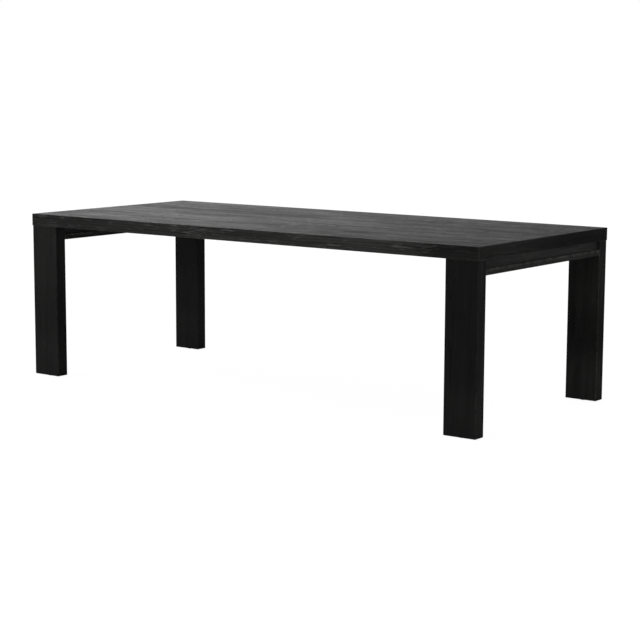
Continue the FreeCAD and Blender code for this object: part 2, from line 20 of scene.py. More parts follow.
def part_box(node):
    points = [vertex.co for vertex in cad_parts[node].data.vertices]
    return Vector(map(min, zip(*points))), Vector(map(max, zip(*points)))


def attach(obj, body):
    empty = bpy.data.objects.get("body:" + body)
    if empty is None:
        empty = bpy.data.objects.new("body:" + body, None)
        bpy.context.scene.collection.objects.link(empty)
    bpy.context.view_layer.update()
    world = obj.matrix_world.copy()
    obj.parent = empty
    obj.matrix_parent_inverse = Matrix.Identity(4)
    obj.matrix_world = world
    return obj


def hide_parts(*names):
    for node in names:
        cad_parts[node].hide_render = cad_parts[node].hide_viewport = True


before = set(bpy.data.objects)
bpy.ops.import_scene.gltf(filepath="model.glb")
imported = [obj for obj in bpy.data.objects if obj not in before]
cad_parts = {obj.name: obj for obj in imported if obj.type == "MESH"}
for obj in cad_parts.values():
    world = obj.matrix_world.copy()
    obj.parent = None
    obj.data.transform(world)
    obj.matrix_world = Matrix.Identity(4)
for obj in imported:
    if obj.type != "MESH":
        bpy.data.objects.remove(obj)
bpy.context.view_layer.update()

log = logging.getLogger("dining_table")

PHOTO_SIDE = 640

Pair = tuple[float, float]
Point = tuple[float, float, float]
Colour = tuple[float, float, float]
Weights = tuple[tuple[str, float], ...]
Material = bpy.types.Material
Piece = bpy.types.Object
Socket = bpy.types.NodeSocket
Feed = float | Point | Socket

WHITE: Colour = (1.0, 1.0, 1.0)


class End(Enum):
    """Short end of the table, as the CAD nodes spell it."""

    LEFT = "left"
    RIGHT = "right"


class Corner(Enum):
    """Corner of the table, as the CAD nodes spell it."""

    FRONT_LEFT = "front_left"
    FRONT_RIGHT = "front_right"
    BACK_LEFT = "back_left"
    BACK_RIGHT = "back_right"


class Axis(Enum):
    """Direction along the table, across it or up."""

    LENGTH = (1.0, 0.0, 0.0)
    WIDTH = (0.0, 1.0, 0.0)
    HEIGHT = (0.0, 0.0, 1.0)


class Slot(Enum):
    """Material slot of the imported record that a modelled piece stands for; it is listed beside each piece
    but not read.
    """

    JOINT_WOOD = "joint_wood"
    ZINC_STEEL = "zinc_steel"
    BLACK_NYLON = "black_nylon"


@dataclass(frozen=True)
class Cut:
    """How a piece was cut from its log: grain, sawn face, place in the log, looks of the stained finish,
    and the light and shading painted into its colour.

    The figure shows as arches on the sawn face and as straight lines on the faces beside it. The light
    factor is painted light and shading for the whole piece, standing in for how brightly it is lit.
    End shading below 1 is painted shading towards the low or the high end of the grain, and above 1 it
    is painted light there.
    """

    grain: Axis
    face: Axis
    seed: float
    leaf_width: float = 0.4
    ring_width: float = 0.0032
    # Painted light and shading: a factor on the wood's light colours for the whole piece
    painted_light_factor: float = 1.0
    gloss: float = 1.0
    flecks: float = 0.3
    # Arrises carry real rubbing and a painted highlight within this reach
    wear_and_highlight_reach: float = 0.0022
    worn_and_highlit_below: bool = True
    painted_end_shading: Pair = (1.0, 1.0)
    painted_end_reaches: Pair = (0.3, 0.3)

    @property
    def turn(self) -> Euler:
        """Turn that brings the grain onto the pattern's X axis and the sawn face onto its Z axis."""
        grain, face = Vector(self.grain.value), Vector(self.face.value)
        return Matrix((grain, face.cross(grain), face)).to_euler()

    def from_log(self, number: float) -> "Cut":
        """Make the same cut from a log so many places further on."""
        return replace(self, seed=self.seed + number)


class NodeGraph:
    """Adds nodes to one shader tree and joins their sockets."""

    def __init__(self, tree: bpy.types.NodeTree) -> None:
        """Empty the tree of a material, group or world, to work on it."""
        self.tree = tree
        tree.nodes.clear()

    def feed(self, socket: Socket, value: Feed) -> None:
        """Join a socket to another one, or set it to a plain value.

        Args:
            socket: Input socket to fill.
            value: Output socket, number or vector.
        """
        if isinstance(value, Socket):
            self.tree.links.new(value, socket)
        elif socket.type == "RGBA" and len(value) == 3:
            socket.default_value = (*value, 1.0)
        else:
            socket.default_value = value

    def add(
        self, kind: str, inputs: dict[str | int, Feed] | None = None, **settings: object
    ) -> bpy.types.Node:
        """Add a node, set it and fill its inputs.

        Args:
            kind: Blender's type name of the node.
            inputs: Values for the input sockets, by name or number.
            **settings: Properties of the node.

        Returns:
            The new node.
        """
        node = self.tree.nodes.new(kind)
        for key, value in settings.items():
            setattr(node, key, value)
        for key, value in (inputs or {}).items():
            self.feed(node.inputs[key], value)
        return node

    def maths(self, operation: str, *terms: Feed, clamp: bool = False) -> Socket:
        """Combine values by one Math node, kept between 0 and 1 if clamped."""
        inputs = dict(enumerate(terms))
        return self.add("ShaderNodeMath", inputs, operation=operation, use_clamp=clamp).outputs[0]

    def vector(self, operation: str, *terms: Feed) -> Socket:
        """Combine vectors by one Vector Math node."""
        return self.add("ShaderNodeVectorMath", dict(enumerate(terms)), operation=operation).outputs[0]

    def noise(self, vector: Feed, scale: Feed, detail: float, roughness: float = 0.5) -> Socket:
        """Add a noise pattern with so many cells per metre, about 0.5 on average."""
        inputs = {"Vector": vector, "Scale": scale, "Detail": detail, "Roughness": roughness}
        return self.add("ShaderNodeTexNoise", inputs).outputs[0]

    def blend(self, share: Feed, first: Feed, second: Feed) -> Socket:
        """Mix two colours by the share of the second one."""
        return self.add("ShaderNodeMix", {0: share, 6: first, 7: second}, data_type="RGBA").outputs[2]

    def parts(self, vector: Feed) -> bpy.types.bpy_prop_collection:
        """Take a vector apart into its three numbers."""
        return self.add("ShaderNodeSeparateXYZ", {0: vector}).outputs

    def spread(
        self, value: Feed, low: float, high: float, to_low: float = 0.0, to_high: float = 1.0,
        smooth: bool = False,
    ) -> Socket:
        """Map a range of values onto another one.

        Args:
            value: Value to map.
            low: Value that gives to_low.
            high: Value that gives to_high.
            to_low: Result at the low end.
            to_high: Result at the high end.
            smooth: Ease in and out of the range.

        Returns:
            The mapped value.
        """
        way = "SMOOTHSTEP" if smooth else "LINEAR"
        inputs = {0: value, 1: low, 2: high, 3: to_low, 4: to_high}
        return self.add("ShaderNodeMapRange", inputs, interpolation_type=way).outputs[0]

    def weigh(self, patterns: Mapping[str, Socket], weights: Weights, clamp: bool = False) -> Socket:
        """Add up patterns by their weights.

        Args:
            patterns: Outputs of an effect, by name.
            weights: Name and weight of each pattern that counts.
            clamp: Keep the sum between 0 and 1.

        Returns:
            The sum.
        """
        total: Feed = 0.0
        for label, weight in weights:
            total = self.maths("MULTIPLY_ADD", patterns[label], weight, total, clamp=clamp)
        return total


class Effect:
    """Shader node group that several finishes share."""

    def __init__(self, name: str, inputs: dict[str, str], outputs: dict[str, str]) -> None:
        """Start a group with named sockets.

        Args:
            name: Name of the group.
            inputs: Socket types of its inputs, by name.
            outputs: Socket types of its outputs, by name.
        """
        self.tree = bpy.data.node_groups.new(name, "ShaderNodeTree")
        for way, sockets in (("INPUT", inputs), ("OUTPUT", outputs)):
            for label, kind in sockets.items():
                self.tree.interface.new_socket(label, in_out=way, socket_type=f"NodeSocket{kind}")
        self.graph = NodeGraph(self.tree)
        self.given = self.graph.add("NodeGroupInput").outputs
        self.result = self.graph.add("NodeGroupOutput").inputs

    def place(self, graph: NodeGraph, **inputs: Feed) -> Mapping[str, Socket]:
        """Put the group into a material.

        Args:
            graph: Graph of the material.
            **inputs: Values of the group's inputs, with underscores for spaces.

        Returns:
            The group node's outputs.
        """
        node = graph.add("ShaderNodeGroup", node_tree=self.tree)
        for label, value in inputs.items():
            graph.feed(node.inputs[label.replace("_", " ").title()], value)
        return node.outputs


@dataclass(frozen=True)
class Fibre:
    """Noise that is drawn out along the grain: cells per metre along and across, and octaves."""

    along: float
    across: float
    detail: float
    roughness: float = 0.5


class WoodGrain(Effect):
    """Figure of sawn wood, laid side by side in leaves that each come from another log."""

    log_step: float = 7.0
    sway: Fibre = Fibre(1.1, 5.0, 2.0)
    ripple: Fibre = Fibre(7.0, 60.0, 3.0)
    pith_path: Fibre = Fibre(0.55, 0.0, 1.0)
    pith_drift: float = 0.22
    early_wood: Pair = (0.0, 0.16)
    late_wood: Pair = (0.72, 1.0)
    broad_streaks: Fibre = Fibre(1.5, 13.0, 3.0)
    narrow_streaks: Fibre = Fibre(5.0, 52.0, 3.0)
    streak_range: Pair = (0.74, 1.26)
    fibres: Fibre = Fibre(5.0, 210.0, 4.0, 0.6)
    fibre_range: Pair = (0.28, 0.72)
    clusters: Fibre = Fibre(13.0, 46.0, 2.0)
    cluster_range: Pair = (0.50, 0.68)
    dashes: Fibre = Fibre(16.0, 230.0, 2.0)
    dash_range: Pair = (0.46, 0.62)
    holes: Fibre = Fibre(85.0, 1500.0, 1.0)
    hole_range: Pair = (0.50, 0.58)
    late_hole_loss: float = -0.12

    def __init__(self) -> None:
        """Build the group: leaves, then rings round each one's pith, then the fibres along the grain."""
        sizes = ("Leaf Width", "Ring Width", "Pith Depth", "Wander", "Seed")
        marks = ("Rings", "Leaf Tone", "Streaks", "Fibres", "Flecks", "Pores")
        inputs = {"Vector": "Vector"} | dict.fromkeys(sizes, "Float")
        super().__init__("wood_grain", inputs, dict.fromkeys(marks, "Float"))
        place = self.lay_leaves()
        self.draw_fibres(place, self.grow_rings(place))

    def draw(self, place: Socket, fibre: Fibre) -> Socket:
        """Draw a pattern at a place in the log."""
        scaled = self.graph.vector("MULTIPLY", place, (fibre.along, fibre.across, fibre.across))
        return self.graph.noise(scaled, 1.0, fibre.detail, fibre.roughness)

    def swing(self, place: Socket, fibre: Fibre, width: Feed, middle: Feed) -> Socket:
        """Let a pattern swing by a width to both sides of a middle value."""
        centred = self.graph.maths("SUBTRACT", self.draw(place, fibre), 0.5)
        return self.graph.maths("MULTIPLY_ADD", centred, width, middle)

    def lay_leaves(self) -> Socket:
        """Part the face into leaves and give each one a place in a log of its own.

        Returns:
            Place in the log: along the grain, across from the pith and deep.
        """
        graph, given = self.graph, self.given
        place = graph.parts(given["Vector"])
        leaf = graph.maths("ROUND", graph.maths("DIVIDE", place[1], given["Leaf Width"]))
        number = graph.maths("ADD", leaf, given["Seed"])
        chance = graph.add("ShaderNodeTexWhiteNoise", {"W": number}, noise_dimensions="1D").outputs
        drawn = graph.add("ShaderNodeSeparateColor", {0: chance["Color"]}).outputs
        along = graph.maths("MULTIPLY_ADD", drawn[0], self.log_step, place[0])
        middle = graph.maths("MULTIPLY", leaf, given["Leaf Width"])
        off_centre = graph.maths("MULTIPLY", graph.maths("SUBTRACT", drawn[1], 0.5), given["Leaf Width"])
        across = graph.maths("SUBTRACT", graph.maths("SUBTRACT", place[1], middle), off_centre)
        graph.feed(self.result["Leaf Tone"], chance["Value"])
        return graph.add("ShaderNodeCombineXYZ", {0: along, 1: across, 2: place[2]}).outputs[0]

    def grow_rings(self, place: Socket) -> Socket:
        """Grow rings round a pith that wanders below the face.

        Args:
            place: Place in the log.

        Returns:
            The rings, dark where each year starts and ends.
        """
        graph, given = self.graph, self.given
        _, across, deep = graph.parts(place)
        pith = self.swing(place, self.pith_path, self.pith_drift, given["Pith Depth"])
        below = graph.maths("ADD", deep, pith)
        squares = (graph.maths("MULTIPLY", side, side) for side in (across, below))
        radius = graph.maths("SQRT", graph.maths("ADD", *squares))
        swayed = self.swing(place, self.sway, given["Wander"], radius)
        grown = self.swing(place, self.ripple, given["Ring Width"], swayed)
        year = graph.maths("FRACT", graph.maths("DIVIDE", grown, given["Ring Width"]))
        early = graph.spread(year, *self.early_wood, smooth=True)
        late = graph.spread(year, *self.late_wood, 1.0, 0.0, smooth=True)
        rings = graph.maths("MULTIPLY", early, late)
        graph.feed(self.result["Rings"], rings)
        return rings

    def draw_fibres(self, place: Socket, rings: Socket) -> None:
        """Draw streaks, fibres, clusters of light flecks, and pores where the year starts.

        Args:
            place: Place in the log.
            rings: The rings.
        """
        graph = self.graph
        broad, narrow = self.draw(place, self.broad_streaks), self.draw(place, self.narrow_streaks)
        clusters = graph.spread(self.draw(place, self.clusters), *self.cluster_range, smooth=True)
        dashes = graph.spread(self.draw(place, self.dashes), *self.dash_range, smooth=True)
        holes = graph.maths("MULTIPLY_ADD", rings, self.late_hole_loss, self.draw(place, self.holes))
        fibres = self.draw(place, self.fibres)
        streaks = graph.maths("ADD", broad, narrow)
        graph.feed(self.result["Streaks"], graph.spread(streaks, *self.streak_range))
        graph.feed(self.result["Fibres"], graph.spread(fibres, *self.fibre_range))
        graph.feed(self.result["Flecks"], graph.maths("MULTIPLY", clusters, dashes))
        graph.feed(self.result["Pores"], graph.spread(holes, *self.hole_range, smooth=True))


class ArrisWearAndHighlight(Effect):
    """Light rubbing along the arrises of a boxy piece, which also paints the highlight that an eased arris
    catches.
    """

    patch_cells: float = 34.0
    patch_detail: float = 4.0
    patch_roughness: float = 0.7
    patch_range: Pair = (0.38, 0.62)

    def __init__(self) -> None:
        """Build the group: distance to the nearest edge of the piece's box, broken up by noise."""
        inputs = dict.fromkeys(("Vector", "Low", "High"), "Vector") | {"Reach": "Float"}
        super().__init__("arris_wear_and_highlight", inputs, {"Wear And Highlight": "Float"})
        graph, given = self.graph, self.given
        above_low = graph.vector("SUBTRACT", given["Vector"], given["Low"])
        below_high = graph.vector("SUBTRACT", given["High"], given["Vector"])
        gaps = graph.parts(graph.vector("MINIMUM", above_low, below_high))
        larger = graph.maths("MAXIMUM", gaps[0], gaps[1])
        smaller = graph.maths("MINIMUM", gaps[0], gaps[1])
        second = graph.maths("MAXIMUM", smaller, graph.maths("MINIMUM", larger, gaps[2]))
        near = graph.maths("SUBTRACT", 1.0, graph.maths("DIVIDE", second, given["Reach"]), clamp=True)
        patches = graph.noise(given["Vector"], self.patch_cells, self.patch_detail, self.patch_roughness)
        broken = graph.spread(patches, *self.patch_range)
        graph.feed(self.result["Wear And Highlight"], graph.maths("MULTIPLY", near, broken, clamp=True))


class Speckle(Effect):
    """Fine even speckle over slow clouds, for metal and moulded faces."""

    value_range: Pair = (0.3, 0.7)
    speckle_detail: float = 2.0
    cloud_detail: float = 3.0

    def __init__(self) -> None:
        """Build the group from two noise patterns."""
        inputs = {"Vector": "Vector", "Grains": "Float", "Clouds": "Float"}
        super().__init__("speckle", inputs, {"Speckle": "Float", "Cloud": "Float"})
        graph, given = self.graph, self.given
        patterns = (("Speckle", "Grains", self.speckle_detail), ("Cloud", "Clouds", self.cloud_detail))
        for label, cells, detail in patterns:
            pattern = graph.noise(given["Vector"], given[cells], detail)
            graph.feed(self.result[label], graph.spread(pattern, *self.value_range))


@dataclass(frozen=True)
class Effects:
    """The shared node groups."""

    grain: WoodGrain
    wear_and_highlight: ArrisWearAndHighlight
    speckle: Speckle


class Surface:
    """One material in the making: its graph, its shader and the place that patterns read."""

    def __init__(self, name: str, centre: Vector = Vector(), turn: Euler = Euler()) -> None:
        """Start a material whose pattern is centred on a piece and turned to its grain.

        Args:
            name: Name of the material.
            centre: Middle of the piece.
            turn: Turn of the pattern.
        """
        self.material = bpy.data.materials.new(name)
        self.material.use_nodes = True
        self.graph = NodeGraph(self.material.node_tree)
        self.shader = self.graph.add("ShaderNodeBsdfPrincipled")
        self.graph.add("ShaderNodeOutputMaterial", {"Surface": self.shader.outputs[0]})
        self.place = self.graph.add("ShaderNodeTexCoord").outputs["Object"]
        moved = self.graph.add("ShaderNodeMapping", {"Vector": self.place, "Location": tuple(-centre)})
        turned = self.graph.add("ShaderNodeMapping", {"Vector": moved.outputs[0], "Rotation": turn})
        self.pattern = turned.outputs[0]

    def set(self, **inputs: Feed) -> None:
        """Fill inputs of the shader, with underscores for spaces in their names."""
        for label, value in inputs.items():
            self.graph.feed(self.shader.inputs[label.replace("_", " ")], value)

    def emboss(self, height: Feed, depth: float, strength: float) -> None:
        """Raise the surface by a pattern of a real depth, of which a share shows."""
        bump = self.graph.add("ShaderNodeBump", {"Height": height, "Strength": strength, "Distance": depth})
        self.set(Normal=bump.outputs[0])


@dataclass(frozen=True)
class BlackOak:
    """Black stained open-pore oak under a satin lacquer."""

    effects: Effects
    dark: Colour = (0.0032, 0.0031, 0.0030)
    light: Colour = (0.0200, 0.0196, 0.0190)
    fleck: Colour = (0.0700, 0.0690, 0.0670)
    # Colour of the arrises: real rubbing and a painted highlight
    rubbed_and_highlit: Colour = (0.0850, 0.0810, 0.0750)
    tone_weights: Weights = (("Fibres", 0.26), ("Rings", 0.30), ("Streaks", 0.44), ("Leaf Tone", 0.14))
    fleck_share: float = 0.5
    pore_share: float = 0.55
    wear_and_highlight_share: float = 0.7
    dark_roughness: float = 0.61
    tone_roughness: float = -0.30
    pore_roughness: float = 0.18
    specular: float = 0.06
    fleck_gloss: float = 0.5
    coat_roughness: float = 0.35
    pith_depth: float = 0.085
    wander: float = 0.012
    relief_weights: Weights = (("Fibres", 0.6), ("Pores", -0.8), ("Rings", 0.35))
    relief_depth: float = 0.0003
    relief_strength: float = 0.5
    unmarked_drop: float = 1.0

    def dress(self, node: str, cut: Cut) -> None:
        """Give one CAD node this finish.

        Args:
            node: Name of the node.
            cut: How the piece was cut.
        """
        low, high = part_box(node)
        surface = Surface(f"{node}_black_oak", (low + high) / 2, cut.turn)
        graph = surface.graph
        grain = self.effects.grain.place(
            graph, vector=surface.pattern, leaf_width=cut.leaf_width, ring_width=cut.ring_width,
            pith_depth=self.pith_depth, wander=self.wander, seed=cut.seed,
        )
        # A box let down far below the piece leaves its lower arrises out of the rubbing and painted
        # highlight.
        foot = low if cut.worn_and_highlit_below else low - self.unmarked_drop * Vector(Axis.HEIGHT.value)
        worn_and_highlit = self.effects.wear_and_highlight.place(
            graph, vector=surface.place, low=tuple(foot), high=tuple(high), reach=cut.wear_and_highlight_reach,
        )["Wear And Highlight"]
        tone = graph.weigh(grain, self.tone_weights, clamp=True)
        colour = self.stain_and_paint_light(graph, cut, tone, grain, worn_and_highlit)
        # Painted shading and painted light towards the ends of the grain, standing in for how the light
        # falls.
        colour = self.paint_end_shading(surface, colour, cut, (high - low).dot(Vector(cut.grain.value)) / 2)
        sheen = graph.maths("MULTIPLY_ADD", tone, self.tone_roughness, self.dark_roughness)
        rough = graph.maths("MULTIPLY_ADD", grain["Pores"], self.pore_roughness, sheen)
        gloss = graph.maths("MULTIPLY", grain["Flecks"], self.fleck_gloss * cut.flecks)
        surface.set(Base_Color=colour, Roughness=rough, Specular_IOR_Level=self.specular * cut.gloss)
        surface.set(Coat_Weight=gloss, Coat_Roughness=self.coat_roughness)
        surface.emboss(graph.weigh(grain, self.relief_weights), self.relief_depth, self.relief_strength)
        coat_node(node, surface.material)

    def stain_and_paint_light(
        self, graph: NodeGraph, cut: Cut, tone: Socket, grain: Mapping[str, Socket], worn_and_highlit: Socket
    ) -> Socket:
        """Stain the wood by its tone, then add flecks, pores and rubbed arrises.

        Args:
            graph: Graph of the material.
            cut: How the piece was cut.
            tone: Tone of the wood, from 0 for the darkest to 1 for the lightest.
            grain: Patterns of the grain.
            worn_and_highlit: Rubbing along the arrises, with their painted highlight.

        Returns:
            The stained colour.
        """
        # Painted light and shading: the light, fleck and rubbing colours are scaled by the piece's light
        # factor, which stands in for how brightly the piece is lit.
        light, fleck, rubbed_and_highlit = (
            tuple(cut.painted_light_factor * part for part in colour) for colour in (self.light, self.fleck, self.rubbed_and_highlit)
        )
        colour = graph.blend(tone, self.dark, light)
        layers = (
            (grain["Flecks"], self.fleck_share * cut.flecks, fleck),
            (grain["Pores"], self.pore_share, self.dark),
            (worn_and_highlit, self.wear_and_highlight_share, rubbed_and_highlit),
        )
        for pattern, share, second in layers:
            colour = graph.blend(graph.maths("MULTIPLY", pattern, share), colour, second)
        return colour

    @staticmethod
    def paint_end_shading(surface: Surface, colour: Socket, cut: Cut, half: float) -> Socket:
        """Paint shading towards an end of the grain where its factor is below 1, and light where it is above
        1.

        Args:
            surface: Material in the making.
            colour: Colour of the stained wood.
            cut: How the piece was cut.
            half: Half the piece's length along the grain.

        Returns:
            The faded colour.
        """
        graph = surface.graph
        along = graph.parts(surface.pattern)[0]
        for inward, gain, reach in zip((1.0, -1.0), cut.painted_end_shading, cut.painted_end_reaches):
            if gain != 1.0:
                to_end = graph.maths("MULTIPLY_ADD", along, inward, half)
                level = graph.spread(to_end, reach / 2, reach, gain, 1.0, smooth=True)
                colour = graph.vector("MULTIPLY", colour, level)
        return colour


@dataclass(frozen=True)
class PlainTimber:
    """Sawn timber, bare or thinly stained, as used inside the table."""

    effects: Effects
    label: str
    early: Colour
    late: Colour
    pore: Colour
    tone_weights: Weights = (("Rings", 0.5), ("Fibres", 0.35), ("Streaks", 0.2))
    pore_share: float = 0.5
    roughness: float = 0.62
    fibre_roughness: float = 0.14
    specular: float = 0.25
    ring_width: float = 0.0045
    leaf_width: float = 0.11
    pith_depth: float = 0.06
    wander: float = 0.01
    relief_weights: Weights = (("Fibres", 1.0), ("Pores", -0.6))
    relief_depth: float = 0.0003
    relief_strength: float = 0.4

    def dress(self, node: str, cut: Cut) -> None:
        """Give one CAD node this finish, cut as told."""
        low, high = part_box(node)
        coat_node(node, self.material(f"{node}_{self.label}", (low + high) / 2, cut))

    def material(self, name: str, centre: Vector, cut: Cut) -> Material:
        """Make the material for one piece.

        Args:
            name: Name of the material.
            centre: Middle of the piece.
            cut: How the piece was cut.

        Returns:
            The material.
        """
        surface = Surface(name, centre, cut.turn)
        graph = surface.graph
        grain = self.effects.grain.place(
            graph, vector=surface.pattern, leaf_width=self.leaf_width, ring_width=self.ring_width,
            pith_depth=self.pith_depth, wander=self.wander, seed=cut.seed,
        )
        sawn = graph.blend(graph.weigh(grain, self.tone_weights, clamp=True), self.late, self.early)
        colour = graph.blend(graph.maths("MULTIPLY", grain["Pores"], self.pore_share), sawn, self.pore)
        rough = graph.maths("MULTIPLY_ADD", grain["Fibres"], self.fibre_roughness, self.roughness)
        surface.set(Base_Color=colour, Roughness=rough, Specular_IOR_Level=self.specular)
        surface.emboss(graph.weigh(grain, self.relief_weights), self.relief_depth, self.relief_strength)
        return surface.material


@dataclass(frozen=True)
class SpeckledFinish:
    """Two colours in slow clouds under a fine speckle, which also roughens the surface."""

    effects: Effects
    first: Colour
    second: Colour
    metallic: float
    specular: float
    roughness: float
    speckle_roughness: float
    grains: float
    clouds: float
    relief_depth: float
    relief_strength: float

    def material(self, name: str) -> Material:
        """Make the material for one piece.

        Args:
            name: Name of the material.

        Returns:
            The material.
        """
        surface = Surface(name)
        graph = surface.graph
        marks = self.effects.speckle.place(
            graph, vector=surface.pattern, grains=self.grains, clouds=self.clouds
        )
        colour = graph.blend(marks["Cloud"], self.first, self.second)
        rough = graph.maths("MULTIPLY_ADD", marks["Speckle"], self.speckle_roughness, self.roughness)
        surface.set(Base_Color=colour, Roughness=rough)
        surface.set(Metallic=self.metallic, Specular_IOR_Level=self.specular)
        surface.emboss(marks["Speckle"], self.relief_depth, self.relief_strength)
        return surface.material


@dataclass(frozen=True)
class ZincSteel(SpeckledFinish):
    """Bright zinc plated steel."""

    first: Colour = (0.62, 0.63, 0.64)
    second: Colour = (0.42, 0.43, 0.45)
    metallic: float = 1.0
    specular: float = 0.5
    roughness: float = 0.26
    speckle_roughness: float = 0.14
    grains: float = 2600.0
    clouds: float = 160.0
    relief_depth: float = 0.00004
    relief_strength: float = 0.3


@dataclass(frozen=True)
class BlackNylon(SpeckledFinish):
    """Moulded black nylon with a fine spark-eroded texture."""

    first: Colour = (0.010, 0.010, 0.011)
    second: Colour = (0.030, 0.030, 0.031)
    metallic: float = 0.0
    specular: float = 0.4
    roughness: float = 0.44
    speckle_roughness: float = 0.18
    grains: float = 3200.0
    clouds: float = 220.0
    relief_depth: float = 0.00006
    relief_strength: float = 0.5


@dataclass(frozen=True)
class Finishes:
    """Every finish on the table."""

    oak: BlackOak
    board: PlainTimber
    core: PlainTimber
    beech: PlainTimber
    zinc: ZincSteel
    nylon: BlackNylon

    @classmethod
    def mix(cls, effects: Effects) -> "Finishes":
        """Make the finishes.

        Args:
            effects: Shared node groups.

        Returns:
            The set of finishes.
        """
        return cls(
            oak=BlackOak(effects),
            board=PlainTimber(
                effects, "stained_board", early=(0.016, 0.0155, 0.015), late=(0.008, 0.0078, 0.0076),
                pore=(0.004, 0.004, 0.004), roughness=0.7, leaf_width=0.24,
            ),
            core=PlainTimber(
                effects, "core_timber", early=(0.62, 0.47, 0.29), late=(0.44, 0.30, 0.16),
                pore=(0.36, 0.24, 0.13),
            ),
            beech=PlainTimber(
                effects, "joint_wood", early=(0.60, 0.40, 0.25), late=(0.48, 0.30, 0.18),
                pore=(0.38, 0.22, 0.13), ring_width=0.0025, leaf_width=0.2,
            ),
            zinc=ZincSteel(effects),
            nylon=BlackNylon(effects),
        )


def coat_node(node: str, material: Material) -> None:
    """Put a material on every slot of a CAD node.

    Args:
        node: Name of the node.
        material: Finish that it gets.
    """
    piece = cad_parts[node]
    if not piece.material_slots:
        piece.data.materials.append(material)
    for slot in piece.material_slots:
        slot.material = material
    log.info("dressed %s", node)


def settle(piece: Piece, body: str, material: Material, node: str) -> None:
    """Put a modelled piece in the place of its CAD node.

    Args:
        piece: New piece.
        body: CAD body that it moves with.
        material: Finish that it gets.
        node: CAD node that it stands for.
    """
    piece.data.materials.clear()
    piece.data.materials.append(material)
    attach(piece, body)
    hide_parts(node)
    log.info("modelled %s for %s, %d faces", piece.name, node, len(piece.data.polygons))


def levels(node: str) -> Pair:
    """Find the lowest and the highest level of a CAD node."""
    low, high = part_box(node)
    return low.z, high.z


def round_places(node: str, radius: float, columns: int, rows: int) -> list[Vector]:
    """Find the axes of round fixings that lie in a grid in one CAD node.

    Args:
        node: Name of the node.
        radius: Outer radius of the fixings.
        columns: Number of them along X.
        rows: Number of them along Y.

    Returns:
        Places of the axes on the floor.
    """
    low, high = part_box(node)
    first = Vector((low.x + radius, low.y + radius, 0.0))
    reach = Vector((high.x - radius, high.y - radius, 0.0)) - first
    shares = [(column / (columns - 1), row / (rows - 1)) for column in range(columns) for row in range(rows)]
    return [first + Vector((reach.x * along, reach.y * across, 0.0)) for along, across in shares]


@dataclass(frozen=True)
class Thread:
    """Screw thread, with its crest and root radius and its rise per turn."""

    crest: float
    root: float
    pitch: float
    steps: int = 28


METRIC_8 = Thread(crest=0.00396, root=0.0032, pitch=0.00125)
WOOD_12 = Thread(crest=0.0060, root=0.0050, pitch=0.0030, steps=36)
METRIC_8_BORE = 0.00405
HEXAGON = 6


class Picking(Enum):
    """What is picked on a mesh in edit mode."""

    CORNERS = "VERT"
    FACES = "FACE"


class Joining(Enum):
    """What stays of two pieces that are combined."""

    BOTH = "UNION"
    FIRST_ONLY = "DIFFERENCE"
    SHARED = "INTERSECT"


